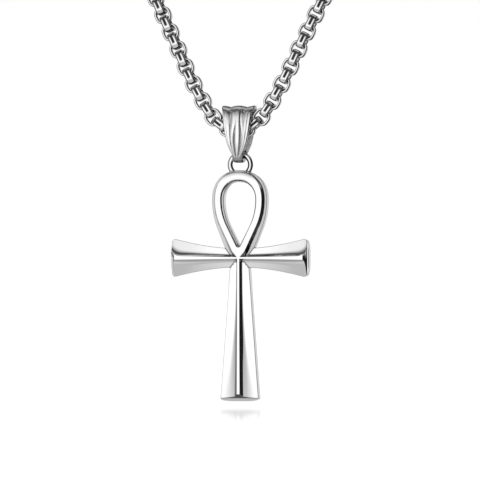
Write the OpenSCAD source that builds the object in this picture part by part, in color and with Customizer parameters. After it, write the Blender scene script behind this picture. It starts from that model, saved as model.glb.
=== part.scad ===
// Ankh pendant hanging from a fluted bail on a round box chain, in millimetres.
// +Z is up, the front faces -Y, and the origin is the middle of the chain at the nape of the neck.

/* [Ankh] */
// Width across the two arms
arm_span = 24.4; // [22:0.2:27]
// Crossing to the foot of the shaft
shaft_length = 24.8; // [22:0.2:28]
// Crossing to the top of the loop
loop_height = 15.2; // [14:0.2:17]
// Width across the loop
loop_width = 9.7; // [9:0.1:11]
// Width of the band that the loop is bent from, at its sides
band_width = 2.05; // [1.8:0.05:2.3]
// Height of an arm beside the crossing
arm_root = 3.4; // [3.2:0.1:3.8]
// Height that an arm flares to at its end
arm_flare = 7; // [6:0.1:7.6]
// Width of the shaft beside the crossing
shaft_root = 3.4; // [3.2:0.1:3.8]
// Width of the shaft at its foot
shaft_foot = 6.8; // [5.6:0.1:7.4]
// Thickness of the flat body behind the ridges
body_thickness = 1.9; // [1.6:0.1:2.2]
// Rise of the ridges over the flat body
ridge_rise = 1.1; // [0.8:0.1:1.3]
// Width of the ridges where they meet at the crossing
ridge_width = 0.4; // [0.3:0.05:0.6]
// Width of the ridges at the ends of the arms
ridge_arm_width = 0.85; // [0.6:0.05:1]
// Width of the ridge at the foot
ridge_foot_width = 0.5; // [0.4:0.05:0.8]
// Length of the slope that ends each ridge
ridge_end_slope = 0.75; // [0.6:0.05:1]

/* [Eye ring] */
// Outer diameter of the soldered eye ring
ring_diameter = 4.5; // [4.3:0.05:4.8]
// Diameter of the eye ring's wire
ring_wire = 0.9; // [0.8:0.02:0.94]
// Depth that the eye ring is sunk in the top of the loop
ring_sink = 1.3; // [1.1:0.05:1.4]

/* [Bail] */
// Height of the bail
bail_height = 10; // [9.8:0.1:11]
// Depth of the bail from front to back
bail_depth = 5.4; // [5.2:0.1:6]
// Width of the bail at its top
bail_width = 5.9; // [5:0.1:6.4]
// Width of the bail where the eye ring hangs
bail_tip_width = 1.5; // [1.2:0.1:1.6]
// Thickness of the bail's leaves
bail_wall = 0.7; // [0.6:0.05:0.8]
// Thickness of the bail under the eye ring
bail_seat = 1; // [0.8:0.05:1.05]
// Depth of the flutes
flute_depth = 0.28; // [0.1:0.02:0.32]

/* [Chain] */
// Width of the chain
chain_width = 3; // [2.8:0.05:3.1]
// Width of the band that each link is bent from
link_band = 1.4; // [1.2:0.05:1.45]
// Thickness of the band that each link is bent from
link_wire = 0.5; // [0.4:0.02:0.52]
// Distance from one link to the next
link_pitch = 1.68; // [1.66:0.01:1.7]
// Loose links at the front of the chain
link_count = 33; // [29:2:33]

/* [Clasp] */
// Length of the clasp between the chain's ends
clasp_length = 13; // [11:0.5:16]
// Width of the clasp
clasp_width = 5; // [4:0.1:6]
// Thickness of the clasp
clasp_thickness = 2.4; // [2:0.1:3]
// Width of the clasp's inner opening
clasp_opening = 2; // [1.6:0.1:2.4]

/* [Fits] */
// Sideways distance of the bail from the chain's lowest point
bail_offset = 0.5; // [0:0.1:0.6]
// Gap between the chain and the top of the bail that hangs on it
bail_gap = 0.15; // [0.1:0.01:0.25]
// Gap between the eye ring and the bail that carries it
ring_gap = 0.2; // [0.18:0.01:0.25]
// Gap between the chain's end and what it meets
end_gap = 0.3; // [0.2:0.05:0.4]

/* [Hidden] */

// Right half of the chain's route, from its lowest point at the bail to the nape: [x, y, z]
ROUTE = [
    [0, -106, -212], [1.7, -106, -211.7], [3.3, -106, -210.7], [4.8, -105.9, -209], [6.5, -105.8, -206.3],
    [8.5, -105.6, -202.6], [11, -105.1, -197.2], [15, -104, -188.8], [22, -101.5, -173.3], [32, -97, -151],
    [43, -89.5, -125], [53, -78, -97], [61, -64, -71], [65, -48, -46], [65, -31, -25], [59, -16, -12],
    [47, -7, -5], [32, -2, -1], [16, 0, 0], [0, 0, 0]
];
// Route points on each stretch between two chosen points
ROUTE_STEPS = 8;
// Distance on either side of a place over which the route's direction is taken
HEADING_STEP = 0.4;
// Height of the loop's widest place over the crossing, as a share of the loop's height
LOOP_MIDDLE = 0.66;
// How square the loop's top is: 2 is an ellipse, and more is squarer
LOOP_SQUARENESS = 2.2;
// Height of the dome on the loop's ridge
RIDGE_DOME = 0.08;
// Distance of the flat body's middle in front of the chain's plane
BODY_SHIFT = 0.15;
// How late an arm flares: 1 is a straight taper
ARM_CURVE = 1.6;
// Length of the round corners at the end of an arm, and how square they are
ARM_CORNER = 1.2;
ARM_SQUARENESS = 3.2;
// Length of the round corners at the foot, and how square they are
FOOT_CORNER = 0.7;
FOOT_SQUARENESS = 4;
// Largest share of a bar's width that its ridge takes along the bar, and at the end of its hip
RIDGE_SHARE = 0.8;
HIP_SHARE = 0.96;
// Least rise of a hip's edge over the flat body
HIP_EDGE = 0.01;
// How square the bail is in its side view
BAIL_SQUARENESS = 2.6;
// Height of the narrow ribs in the grooves as a share of the flutes' depth, and their half width
RIB_RISE = 0.45;
RIB_HALF = 0.14;
// How far the bail's leaves keep their thickness towards their edges: more is farther
LEAF_FLATNESS = 5;
// Height shares over which the bail's thick seat ends and its flutes begin
SEAT_SHARE = 0.25;
FLUTE_SHARE = 0.2;
// Upright thickness of a slanting strand at the bail's edge, as a share of the chain's width
STRAND_SLANT = 1.3;
// Width of the clasp's opening at its narrow end, as a share of the width at its wide end
CLASP_TAPER = 0.7;
// Sides of the chain's tube, and the spacing of its rings in diameters
TUBE_SIDES = 8;
RING_SPACING = 2.4;

function power(v, e) = sign(v) * pow(abs(v), e);
function unit(v) = v / norm(v);
function mix(a, b, t) = a + (b - a) * t;

// Route by its length: a smooth curve through the chosen points, whose tangent at a point is the mean of
// the two chords weighted by the other's length. The left half mirrors the right.
function ghost(i) =
    i < 0 ? [-ROUTE[-i].x, ROUTE[-i].y, ROUTE[-i].z]
    : i > len(ROUTE) - 1 ? let (p = ROUTE[2 * len(ROUTE) - 2 - i]) [-p.x, p.y, p.z]
    : ROUTE[i];
function slope(i) =
    let (
        before = ghost(i) - ghost(i - 1),
        after = ghost(i + 1) - ghost(i),
        b = norm(before),
        a = norm(after)
    ) (after / a * b + before / b * a) / (a + b);
function curve(i, t) =
    let (
        p = ghost(i),
        q = ghost(i + 1),
        l = norm(q - p)
    )
        p * (2 * t * t * t - 3 * t * t + 1) + slope(i) * l * (t * t * t - 2 * t * t + t)
        + q * (3 * t * t - 2 * t * t * t) + slope(i + 1) * l * (t * t * t - t * t);
trail = concat(
    [for (i = [0:len(ROUTE) - 2], k = [0:ROUTE_STEPS - 1]) curve(i, k / ROUTE_STEPS)],
    [ROUTE[len(ROUTE) - 1]]
);
steps = [for (i = [1:len(trail) - 1]) norm(trail[i] - trail[i - 1])];
lengths = [for (i = 0, s = 0; i < len(trail); s = s + (i < len(steps) ? steps[i] : 0), i = i + 1) s];
half_length = lengths[len(lengths) - 1];
table_x = [for (i = [0:len(trail) - 1]) [lengths[i], trail[i].x]];
table_y = [for (i = [0:len(trail) - 1]) [lengths[i], trail[i].y]];
table_z = [for (i = [0:len(trail) - 1]) [lengths[i], trail[i].z]];
function place(s) = [sign(s) * lookup(abs(s), table_x), lookup(abs(s), table_y), lookup(abs(s), table_z)];
function heading(s) = unit(place(s + HEADING_STEP) - place(s - HEADING_STEP));
function depth_axis(s) = let (t = heading(s)) unit([0, 1, 0] - t.y * t);

// Places along Z, from the chain down: the bail hangs on the strands at its edges, the eye ring hangs in
// the bail, and the crossing follows from the eye ring.
edge_rise = lookup(bail_offset + bail_width / 2, [for (p = trail) [p.x, p.z - ROUTE[0].z]]);
bail_top = ROUTE[0].z + edge_rise + chain_width / 2 * STRAND_SLANT + bail_gap + bail_wall;
bail_bottom = bail_top - bail_height;
ring_radius = (ring_diameter - ring_wire) / 2;
ring_centre = loop_height - ring_sink + ring_diameter / 2;
ring_axis = bail_bottom + bail_seat + ring_gap + ring_wire / 2;
crossing = [bail_offset, ROUTE[0].y, ring_axis - ring_radius - ring_centre];

// Places along Y: the back and the front of the flat body, and the crest of the ridges.
front_y = -body_thickness / 2 + BODY_SHIFT;
back_y = front_y + body_thickness;
ridge_y = front_y - ridge_rise;

// Surface through a row of rings with the same number of points. Ring points run clockwise seen from
// the end of the row, so that faces point outwards.
module loft(rings, closed = false) {
    n = len(rings[0]);
    last = len(rings) - (closed ? 0 : 1);
    sides = [
        for (i = [0:last - 1], j = [0:n - 1])
            let (a = i * n, b = ((i + 1) % len(rings)) * n, k = (j + 1) % n)
                for (face = [[a + j, b + j, b + k], [a + j, b + k, a + k]]) face
    ];
    caps = closed ? [] : [
        [for (j = [0:n - 1]) j],
        [for (j = [n - 1:-1:0]) (len(rings) - 1) * n + j]
    ];
    polyhedron(points = [for (ring = rings, p = ring) p], faces = concat(sides, caps), convexity = 6);
}

// Section of a ridged bar: half width h, ridge half width r, ridge height y. Returns [across, depth].
function bar_section(h, r, y) = [[-h, back_y], [h, back_y], [h, front_y], [r, y], [-r, y], [-h, front_y]];

// Stations from the middle of a bar to its end: even steps to the round corner, then even angles round it.
// Each is [distance, share of the full width].
function bar_stations(length, corner, bow, steps) = concat(
    [for (i = [0:steps - 1]) [(length - corner) * i / steps, 1]],
    [for (a = [0:15:75]) [length - corner + corner * power(sin(a), 2 / bow), power(cos(a), 2 / bow)]],
    [[length, power(cos(84), 2 / bow)]]
);

// A bar's ridge ends in a hip: over the last stretch its crest slopes down to the flat body and widens to the
// bar's own width. These give the crest's place and its half width, for a ridge of half width r.
function hip(u, length) = max(0, 1 - (length - u) / ridge_end_slope);
function ridge_at(u, length) = min(front_y - HIP_EDGE, mix(ridge_y, front_y, hip(u, length)));
function crest(r, h, u, length) = mix(min(r, h * RIDGE_SHARE), h * HIP_SHARE, hip(u, length));

function arm_half(u) =
    let (length = arm_span / 2, start = arm_root / 2, t = max(0, u - start) / (length - start))
        mix(arm_root / 2, arm_flare / 2, pow(t, ARM_CURVE));
function arm_ridge(u) = mix(ridge_width, ridge_arm_width, u / (arm_span / 2)) / 2;
function shaft_half(u) = mix(shaft_root, shaft_foot, max(0, u - arm_root / 2) / (shaft_length - arm_root / 2)) / 2;
function shaft_ridge(u) = mix(ridge_width, ridge_foot_width, u / shaft_length) / 2;

// Both arms: bar sections carried along X.
module arms() {
    length = arm_span / 2;
    half = bar_stations(length, ARM_CORNER, ARM_SQUARENESS, 6);
    both = concat([for (i = [len(half) - 1:-1:1]) [-half[i][0], half[i][1]]], half);
    loft([
        for (s = both)
            let (u = abs(s[0]), h = arm_half(u) * s[1], r = crest(arm_ridge(u), h, u, length))
                [for (p = bar_section(h, r, ridge_at(u, length))) [s[0], p[1], p[0]]]
    ]);
}

// Shaft: bar sections carried down along Z.
module shaft() {
    loft([
        for (s = bar_stations(shaft_length, FOOT_CORNER, FOOT_SQUARENESS, 5))
            let (u = s[0], h = shaft_half(u) * s[1], r = crest(shaft_ridge(u), h, u, shaft_length))
                [for (p = bar_section(h, r, ridge_at(u, shaft_length))) [p[0], p[1], -u]]
    ]);
}

// The loop's rails, from the outer wall to the inner wall. Each is a teardrop: a squared half ellipse over the
// widest place, an arc below it, a straight leg that leans in, and a steeper line that closes the tip.
// Columns: half width, top, lean of the leg, then as shares of the loop's height where the leg's line would
// end and where the tip is, and the slope of the tip.
// Distance of the ridge from the outer and from the inner wall, as shares of the band's width.
strip_inset = band_width * 0.34;
inner_inset = band_width * 0.18;
RAIL_HALF = 0;
RAIL_TOP = 1;
RAIL_LEAN = 2;
RAIL_APEX = 3;
RAIL_TIP = 4;
RAIL_CLOSE = 5;
outer_rail = [loop_width / 2, loop_height, 21.8, -0.31, -0.06, 2];
strip_outer_rail = [loop_width / 2 - strip_inset, loop_height - strip_inset, 25.2, -0.08, 0, 0.85];
strip_inner_rail = [
    loop_width / 2 - band_width + inner_inset, loop_height - band_width + inner_inset, 26, 0.095, 0.12, 2
];
inner_rail = [loop_width / 2 - band_width, loop_height - band_width, 26.5, 0.128, 0.15, 2];

// Half width of a rail at height z below its widest place: the arc's radius follows from the leg's line.
function rail_half(rail, z) =
    let (
        a = rail[RAIL_HALF],
        lean = rail[RAIL_LEAN],
        fall = LOOP_MIDDLE * loop_height - z,
        apex = rail[RAIL_APEX] * loop_height,
        line = (z - apex) * tan(lean),
        reach = (LOOP_MIDDLE * loop_height - apex) * tan(lean) - a,
        radius = reach * cos(lean) / (1 - cos(lean)),
        arc = a - radius + sqrt(max(0, radius * radius - fall * fall)),
        side = fall < radius * sin(lean) ? arc : line
    ) max(0, min(side, (z - rail[RAIL_TIP] * loop_height) * rail[RAIL_CLOSE]));

// Point of a rail at station t: 0 at the top, 1 at the widest place, 2 at the tip.
function rail_point(rail, t) =
    let (middle = LOOP_MIDDLE * loop_height, e = 2 / LOOP_SQUARENESS)
        t <= 1
            ? [rail[RAIL_HALF] * power(sin(90 * t), e), mix(middle, rail[RAIL_TOP], power(cos(90 * t), e))]
            : let (z = mix(middle, rail[RAIL_TIP] * loop_height, t - 1)) [rail_half(rail, z), z];

function loop_ring(t, side) =
    let (
        o = rail_point(outer_rail, t),
        s = rail_point(strip_outer_rail, t),
        e = rail_point(strip_inner_rail, t),
        i = rail_point(inner_rail, t),
        m = (s + e) / 2
    )
        [
            for (p = [
                [o, back_y], [o, front_y], [s, ridge_y], [m, ridge_y - RIDGE_DOME],
                [e, ridge_y], [i, front_y], [i, back_y]
            ])
                [side * p[0][0], p[1], p[0][1]]
        ];

// Loop: one closed band round the teardrop.
module loop() {
    down = [for (t = [0:0.125:0.99]) t];
    leg = [for (t = [1:0.1:1.95]) t];
    right = concat(down, leg, [2]);
    left = [for (i = [len(right) - 2:-1:1]) right[i]];
    loft(concat([for (t = right) loop_ring(t, 1)], [for (t = left) loop_ring(t, -1)]), closed = true);
}

module eye_ring() {
    translate([0, 0, ring_centre]) rotate([90, 0, 0])
        rotate_extrude($fn = 72) translate([ring_radius, 0]) circle(d = ring_wire, $fn = 32);
}

module ankh() {
    color("gainsboro") translate(crossing) {
        arms();
        shaft();
        loop();
        eye_ring();
    }
}

// Height shares from the bail's bottom, and width shares between the tip's width and the top's.
BAIL_WIDTHS = [
    [0, 0], [0.06, 0], [0.12, 0.12], [0.2, 0.32], [0.32, 0.52], [0.5, 0.65], [0.7, 0.76], [0.86, 0.86], [1, 1]
];
function bail_half(h) = mix(bail_tip_width, bail_width, lookup(h, BAIL_WIDTHS)) / 2;

// Round ribs with narrow ones in the grooves between them: w runs from -1 to 1 across the leaf.
function flute(w) = -flute_depth * (1 - abs(cos(180 * w)) - RIB_RISE * max(0, 1 - abs(abs(w) - 0.5) / RIB_HALF));

// Section of the bail at angle a round its side view, 0 at the back: [x, outward offset] points.
ACROSS = [-1, -0.92, -0.75, -0.6, -0.5, -0.4, -0.25, 0, 0.25, 0.4, 0.5, 0.6, 0.75, 0.92, 1];
function bail_ring(a) =
    let (
        depth = (bail_depth - bail_wall) / 2,
        rise = (bail_height - bail_wall) / 2,
        e = 2 / BAIL_SQUARENESS,
        y = depth * power(cos(a), e),
        z = rise * power(sin(a), e),
        out = unit([power(cos(a), 2 - e) / depth, power(sin(a), 2 - e) / rise]),
        h = (z / rise + 1) / 2,
        half = bail_half(h),
        extra = (bail_seat - bail_wall) * max(0, 1 - h / SEAT_SHARE),
        edge = function (w) pow(1 - pow(abs(w), LEAF_FLATNESS), 1 / 3)
    )
        concat(
            [
                for (w = ACROSS)
                    let (o = (bail_wall / 2 + min(1, h / FLUTE_SHARE) * flute(w)) * edge(w))
                        [half * w, y + o * out[0], z + o * out[1]]
            ],
            [
                for (i = [len(ACROSS) - 2:-2:1])
                    let (w = ACROSS[i], o = (-bail_wall / 2 - extra) * edge(w))
                        [half * w, y + o * out[0], z + o * out[1]]
            ]
        );

module bail() {
    color("silver") translate([bail_offset, ROUTE[0].y, bail_top - bail_height / 2])
        loft([for (a = [351:-9:0]) bail_ring(a)], closed = true);
}

// How square a link is: 2 is a circle, and more is squarer.
LINK_SQUARENESS = 3.5;
// One link: a six-sided band section carried round a squared circle in the plane of along and across.
function link_point(a, n, o) =
    let (c = (chain_width - link_wire) / 2, e = 2 / LINK_SQUARENESS, x = power(cos(a), e), y = power(sin(a), e))
        let (out = unit([power(cos(a), 2 - e), power(sin(a), 2 - e)]))
            [c * x + o * out[0], c * y + o * out[1], n];
LINK_SECTION = [[0.5, -0.3], [0.5, 0.3], [0, 0.5], [-0.5, 0.3], [-0.5, -0.3], [0, -0.5]];
module link(s, turned) {
    along = heading(s);
    depth = depth_axis(s);
    flat = cross(along, depth);
    across = turned ? depth : flat;
    axis = turned ? -flat : depth;
    loft([
        for (a = [15:30:345])
            [
                for (q = LINK_SECTION)
                    let (p = link_point(a, q[1] * link_band, q[0] * link_wire))
                        place(s) + p.x * along + p.y * across + p.z * axis
            ]
    ], closed = true);
}

front_half = (link_count - 1) / 2 * link_pitch + chain_width / 2;
module chain_front() {
    color("lightgray")
        for (k = [0:link_count - 1])
            link((k - (link_count - 1) / 2) * link_pitch, k % 2 == (link_count - 1) / 2 % 2);
}

// The rest of the chain, from the last loose link to the clasp, as a plain tube on each side.
module chain_back() {
    start = front_half + end_gap;
    stop = half_length - clasp_length / 2 - end_gap;
    rings = ceil((stop - start) / (RING_SPACING * chain_width));
    color("lightgray")
        for (side = [-1, 1])
            loft([
                for (i = [0:rings])
                    let (s = side * mix(start, stop, i / rings), d = depth_axis(s), f = cross(heading(s), d))
                        [
                            for (k = [0:TUBE_SIDES - 1])
                                let (a = side * 360 * (k + 0.5) / TUBE_SIDES)
                                    place(s) + chain_width / 2 * (cos(a) * f + sin(a) * d)
                        ]
            ]);
}

// Clasp at the nape: a plain flat hook body with an opening.
module clasp() {
    color("silver") translate(ROUTE[len(ROUTE) - 1]) rotate([90, 0, 0])
        linear_extrude(clasp_thickness, center = true)
            difference() {
                hull() {
                    translate([-(clasp_length - clasp_width) / 2, 0]) circle(d = clasp_width, $fn = 32);
                    translate([(clasp_length - chain_width) / 2, 0]) circle(d = chain_width, $fn = 32);
                }
                hull() {
                    translate([-(clasp_length - clasp_width) / 2, 0]) circle(d = clasp_opening, $fn = 32);
                    translate([clasp_length / 2 - clasp_width, 0]) circle(d = clasp_opening * CLASP_TAPER, $fn = 32);
                }
            }
}

ankh();
bail();
chain_front();
chain_back();
clasp();
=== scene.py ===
"""Ankh pendant on a fluted bail and a box chain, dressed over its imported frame, with a plain studio."""

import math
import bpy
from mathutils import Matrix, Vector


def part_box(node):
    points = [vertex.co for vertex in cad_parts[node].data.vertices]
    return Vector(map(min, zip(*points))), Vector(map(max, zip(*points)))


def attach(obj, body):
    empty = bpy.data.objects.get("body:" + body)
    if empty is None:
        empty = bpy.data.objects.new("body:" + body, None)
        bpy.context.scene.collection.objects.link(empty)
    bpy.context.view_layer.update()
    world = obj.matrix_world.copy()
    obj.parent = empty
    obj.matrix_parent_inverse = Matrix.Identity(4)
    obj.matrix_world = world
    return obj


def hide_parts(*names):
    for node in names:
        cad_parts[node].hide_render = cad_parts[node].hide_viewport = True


bl_info = {
    "name": "Ankh pendant necklace",
    "version": (1, 0, 0),
    "blender": (4, 5, 0),
    "location": "View3D > Sidebar > Necklace",
    "description": "Builds a polished ankh pendant, its bail, chain and clasp, and a plain studio",
    "category": "Add Mesh",
}

import bmesh
import bpy
import numpy as np
from bpy.props import FloatProperty, FloatVectorProperty, IntProperty, PointerProperty
from mathutils import kdtree

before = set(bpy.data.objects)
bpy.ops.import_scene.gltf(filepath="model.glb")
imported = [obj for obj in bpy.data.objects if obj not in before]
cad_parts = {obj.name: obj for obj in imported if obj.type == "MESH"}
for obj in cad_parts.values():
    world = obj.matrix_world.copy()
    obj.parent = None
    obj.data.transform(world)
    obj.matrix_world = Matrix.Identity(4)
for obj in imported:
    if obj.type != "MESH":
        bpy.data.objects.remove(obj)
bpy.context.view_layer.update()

MM = 0.001

# Right half of the chain's route in metres, from its lowest point at the bail to the nape.
ROUTE = np.array([
    [0, -0.106, -0.212], [0.0017, -0.106, -0.2117], [0.0033, -0.106, -0.2107],
    [0.0048, -0.1059, -0.209], [0.0065, -0.1058, -0.2063], [0.0085, -0.1056, -0.2026],
    [0.011, -0.1051, -0.1972], [0.015, -0.104, -0.1888], [0.022, -0.1015, -0.1733],
    [0.032, -0.097, -0.151], [0.043, -0.0895, -0.125], [0.053, -0.078, -0.097],
    [0.061, -0.064, -0.071], [0.065, -0.048, -0.046], [0.065, -0.031, -0.025],
    [0.059, -0.016, -0.012], [0.047, -0.007, -0.005], [0.032, -0.002, -0.001],
    [0.016, 0, 0], [0, 0, 0],
])


def length(name, description, default):
    """A property that holds a length in metres."""
    return FloatProperty(name=name, description=description, default=default,
                         subtype="DISTANCE", unit="LENGTH", precision=5)


def colour(name, description, default):
    """A property that holds a colour."""
    return FloatVectorProperty(name=name, description=description, default=default,
                               subtype="COLOR", size=3, min=0, max=1)


class AnkhSizes(bpy.types.PropertyGroup):
    arm_span: length("Arm span", "Width across the two arms", 0.0244)
    shaft_length: length("Shaft length", "Crossing to the foot", 0.0248)
    loop_height: length("Loop height", "Crossing to the top of the loop", 0.0152)
    loop_width: length("Loop width", "Width across the loop", 0.0097)
    band_width: length("Band width", "Width of the loop's band at its sides", 0.00205)
    arm_root: length("Arm root", "Height of an arm beside the crossing", 0.0034)
    arm_flare: length("Arm flare", "Height of an arm at its end", 0.007)
    shaft_root: length("Shaft root", "Width of the shaft beside the crossing", 0.0034)
    shaft_foot: length("Shaft foot", "Width of the shaft at its foot", 0.0068)
    body_thickness: length("Body thickness", "Thickness of the flat body behind the ridges", 0.0019)
    ridge_rise: length("Ridge rise", "Rise of the ridges over the flat body", 0.0011)
    ridge_width: length("Ridge width", "Width of the ridges at the crossing", 0.0004)
    ridge_arm_width: length("Ridge width at the arms", "Width of the ridges at the arms' ends", 0.00085)
    ridge_foot_width: length("Ridge width at the foot", "Width of the ridge at the foot", 0.0005)
    edge_round: length("Edge round", "Radius of the polished edges", 0.0001)
    ring_diameter: length("Ring diameter", "Outer diameter of the eye ring", 0.0045)
    ring_wire: length("Ring wire", "Diameter of the eye ring's wire", 0.0009)
    ring_sink: length("Ring sink", "Depth of the eye ring in the loop", 0.0013)


class BailSizes(bpy.types.PropertyGroup):
    height: length("Height", "Height of the bail", 0.01)
    depth: length("Depth", "Depth of the bail from front to back", 0.0054)
    width: length("Width", "Width of the bail at its top", 0.0059)
    wall: length("Wall", "Thickness of the leaves", 0.0007)
    seat: length("Seat", "Thickness of the strap under the eye ring", 0.001)
    strap_width: length("Strap width", "Width of the strap that joins the leaves", 0.0018)
    scallop: length("Scallop", "Depth of the two hollows between the three lobes", 0.00026)
    rib: length("Rib", "Rise of the ribs between their grooves", 0.00034)


class ChainSizes(bpy.types.PropertyGroup):
    width: length("Width", "Width of the chain", 0.003)
    band: length("Link band", "Width of the band that a link is bent from", 0.0014)
    wire: length("Link wire", "Thickness of the band that a link is bent from", 0.0005)
    pitch: length("Pitch", "Distance from one link to the next", 0.00168)
    near_links: IntProperty(
        name="Near links", description="Finely made links on each side of the bail", default=24)


class ClaspSizes(bpy.types.PropertyGroup):
    length: length("Length", "Length of the clasp", 0.013)
    width: length("Width", "Width of the clasp", 0.005)
    thickness: length("Thickness", "Thickness of the clasp", 0.0024)
    opening: length("Opening", "Width of the clasp's inner opening", 0.002)
    eye: length("Eye", "Outside diameter of the soldered eye at each end", 0.0032)
    eye_wire: length("Eye wire", "Thickness of the eyes' wire", 0.0006)


class FinishColours(bpy.types.PropertyGroup):
    steel: colour("Steel", "Colour of the polished steel", (0.97, 0.97, 0.975))
    roughness: FloatProperty(name="Roughness", description="Roughness of the polish",
                             default=0.05, min=0, max=1)
    floor: colour("Floor", "Colour of the floor", (1.0, 1.0, 1.0))


class StudioSizes(bpy.types.PropertyGroup):
    camera_distance: length("Camera distance", "Camera to the pendant", 1.2)
    camera_azimuth: FloatProperty(name="Camera azimuth", description="Angle of the camera towards +X",
                                  default=math.radians(12), subtype="ANGLE", unit="ROTATION")
    view_width: length("View width", "Width of the view at the pendant", 0.08319)
    view_rise: length("View rise", "Middle of the view over the crossing", 0.00319)
    view_shift: length("View shift", "Middle of the view to the left of the crossing", 0.00007)
    floor_drop: length("Floor drop", "Floor under the foot of the ankh", 0.0008)


def crossing():
    """Where the ankh's ridges meet: the middle of its box across, on the chain's plane, over its foot."""
    low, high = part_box("ankh")
    sizes = bpy.context.scene.ankh_sizes
    return np.array([(low[0] + high[0]) / 2, ROUTE[0, 1], low[2] + sizes.shaft_length])


# Shapes

def power(values, exponent):
    """The sign of each value times its size raised to the exponent."""
    return np.sign(values) * np.abs(values) ** exponent


def stacked(*coordinates):
    """Points from their coordinates, which are spread to one shape."""
    return np.stack(np.broadcast_arrays(*coordinates), axis=-1)


def unit(vectors):
    """Each vector divided by its length."""
    return vectors / np.linalg.norm(vectors, axis=-1, keepdims=True)


def mix(a, b, t):
    """a + (b - a) t."""
    return a + (b - a) * t


def rising(t, start, end):
    """3 u squared less 2 u cubed, where u goes from 0 at the start to 1 at the end and is held there."""
    u = np.clip((t - start) / (end - start), 0, 1)
    return u * u * (3 - 2 * u)


def whole_turn(count):
    """Angles evenly round a whole turn."""
    return np.linspace(0, 2 * math.pi, count, endpoint=False)


def grid_quads(rows, columns, rows_closed=False, columns_closed=True):
    """Quads of a grid whose points are numbered row by row."""
    i = np.arange(rows if rows_closed else rows - 1)[:, None]
    j = np.arange(columns if columns_closed else columns - 1)[None, :]
    k = (i + 1) % rows
    m = (j + 1) % columns
    quads = np.stack([i * columns + j, k * columns + j, k * columns + m, i * columns + m], axis=-1)
    return quads.reshape(-1, 4)


def linked(name, mesh):
    """A new object of the scene with the mesh."""
    obj = bpy.data.objects.new(name, mesh)
    bpy.context.scene.collection.objects.link(obj)
    return obj


def new_object(name, points, faces):
    """A linked object from points and faces, with its normals turned outwards."""
    mesh = bpy.data.meshes.new(name)
    mesh.from_pydata(points.reshape(-1, 3).tolist(), [], faces)
    shell = bmesh.new()
    shell.from_mesh(mesh)
    bmesh.ops.recalc_face_normals(shell, faces=shell.faces)
    shell.to_mesh(mesh)
    shell.free()
    return linked(name, mesh)


def surface(name, points, rows_closed=False):
    """A closed surface through rings of points [ring, point, xyz]; an open row of rings gets flat ends."""
    rows, columns = points.shape[:2]
    faces = grid_quads(rows, columns, rows_closed).tolist()
    if not rows_closed:
        faces.append(list(range(columns)))
        faces.append(list(range((rows - 1) * columns, rows * columns)))
    return new_object(name, points, faces)


def joined(name, objects):
    """One object from several, whose meshes lie side by side in it."""
    shell = bmesh.new()
    for obj in objects:
        shell.from_mesh(obj.data)
        bpy.data.objects.remove(obj)
    mesh = bpy.data.meshes.new(name)
    shell.to_mesh(mesh)
    shell.free()
    return linked(name, mesh)


# Decimals of a millimetre to which vertices are matched after a union, and the inward bend, in radians, over
# which a seam gets painted shade.
MATCH_DIGITS = 4
SEAM_BEND = 0.06


def united(name, objects, spread=0.13):
    """One solid from several that overlap, by Boolean union, with the seams between them kept sharp.

    Each part gets its own material slot for the union, so a seam is an edge whose faces differ in slot. The
    union empties the parts' layer of painted shade, so its values are given back by the vertices' places. The
    seams that bend inwards get painted shade too, as in a crease: 1 less the distance to the nearest one over
    the spread. By the front crest none is painted.
    """
    marks = [bpy.data.materials.new(f"mark_{number}") for number in range(len(objects))]
    known = {}
    for number, obj in enumerate(objects):
        for mark in marks:
            obj.data.materials.append(mark)
        obj.data.polygons.foreach_set("material_index", np.full(len(obj.data.polygons), number))
        layer = obj.data.attributes.get("painted_shade_mask")
        if layer is not None:
            for vertex, item in zip(obj.data.vertices, layer.data):
                known[vertex.co.to_tuple(MATCH_DIGITS)] = item.value
    base = objects[0]
    for other in objects[1:]:
        cut = base.modifiers.new("union", "BOOLEAN")
        cut.operation = "UNION"
        cut.solver = "EXACT"
        cut.object = other
    graph = bpy.context.evaluated_depsgraph_get()
    mesh = bpy.data.meshes.new_from_object(base.evaluated_get(graph))
    mesh.name = name
    for obj in objects:
        bpy.data.objects.remove(obj)
    shell = bmesh.new()
    shell.from_mesh(mesh)
    seams = [edge for edge in shell.edges if len({face.material_index for face in edge.link_faces}) > 1]
    mesh["seams"] = [edge.index for edge in seams]
    bent = [edge for edge in seams if edge.calc_face_angle_signed(0) < -SEAM_BEND]
    crest = min(vertex.co.y for vertex in mesh.vertices) + spread
    inner = {vertex.index for edge in bent for vertex in edge.verts if vertex.co.y > crest}
    shell.free()
    tree = kdtree.KDTree(len(inner))
    for number in inner:
        tree.insert(mesh.vertices[number].co, number)
    tree.balance()
    away = np.array([tree.find(vertex.co)[2] for vertex in mesh.vertices])
    deep = np.array([known.get(vertex.co.to_tuple(MATCH_DIGITS), 0) for vertex in mesh.vertices])
    if "painted_shade_mask" in mesh.attributes:
        mesh.attributes.remove(mesh.attributes["painted_shade_mask"])
    mesh.materials.clear()
    mesh.polygons.foreach_set("material_index", np.zeros(len(mesh.polygons), int))
    for mark in marks:
        bpy.data.materials.remove(mark)
    # Painted shade: the parts' own, and more along the inward seams.
    return with_painted_shade(linked(name, mesh), np.maximum(deep, np.clip(1 - away / spread, 0, 1)))


def placed(obj, scale, place):
    """Scales and then moves the object's mesh."""
    mesh = obj.data
    points = np.empty(len(mesh.vertices) * 3)
    mesh.vertices.foreach_get("co", points)
    points = points.reshape(-1, 3) * scale + place
    mesh.vertices.foreach_set("co", points.ravel())
    mesh.update()


def marked(obj, name, values):
    """Stores a value for each point, from 0 to 1, that the finishes read by its name."""
    layer = obj.data.attributes.new(name, "FLOAT", "POINT")
    layer.data.foreach_set("value", np.ascontiguousarray(values, np.float32))
    return obj


def with_painted_shade(obj, values):
    """Stores how much painted shade darkens the colour at each point."""
    return marked(obj, "painted_shade_mask", values)


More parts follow.
